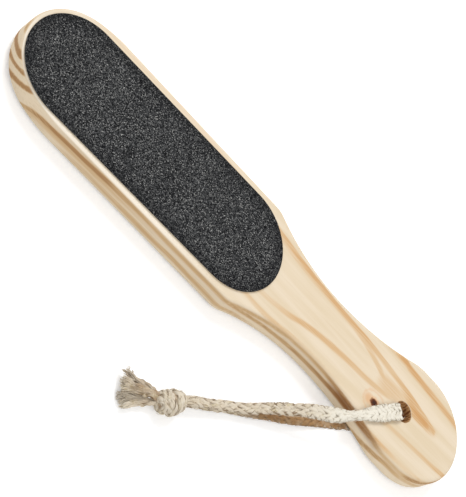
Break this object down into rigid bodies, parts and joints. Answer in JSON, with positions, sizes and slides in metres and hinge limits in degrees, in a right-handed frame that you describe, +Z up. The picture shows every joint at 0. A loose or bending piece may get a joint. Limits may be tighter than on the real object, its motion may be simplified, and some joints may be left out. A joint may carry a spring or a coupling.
{
  "type": "foot file",
  "caption": "Flat wooden foot file with a rounded head, a waisted handle, an abrasive sheet glued to each face of the head, and a soft cotton hanging cord knotted into a loop.",
  "frame": {"origin": "middle of the paddle's length and width, on the plane that the back abrasive lies on", "axes": "+X runs from the head's tip to the butt with the hanging hole, +Y runs across the paddle, away from the side that the cord lies on, and +Z points up out of the front abrasive"},
  "size_m": [0.278, 0.1326, 0.0142],
  "materials": {
    "pine": "bare sanded softwood with amber grain bands",
    "glue": "dried adhesive film",
    "cloth_backing": "resin-filled woven backing",
    "coarse_grit": "charcoal abrasive grains bonded in resin",
    "fine_grit": "finer grey abrasive grains bonded in resin",
    "cotton": "soft braided off-white cotton"
  },
  "bodies": {
    "paddle": {"wooden_paddle": "pine", "front_glue": "glue", "front_backing": "cloth_backing", "front_grit": "coarse_grit", "back_glue": "glue", "back_backing": "cloth_backing", "back_grit": "fine_grit"},
    "hang_loop": {"cord_front_strand": "cotton", "cord_back_strand": "cotton", "cord_knot": "cotton", "cord_upper_tail": "cotton", "cord_lower_tail": "cotton"}
  },
  "joints": [
    {"name": "loop_swing", "type": "hinge", "parent": "paddle", "child": "hang_loop", "pos_m": [0.102, -0.0013, 0.0064], "axis": [0, 0, 1], "range_deg": [-10, 275]}
  ]
}
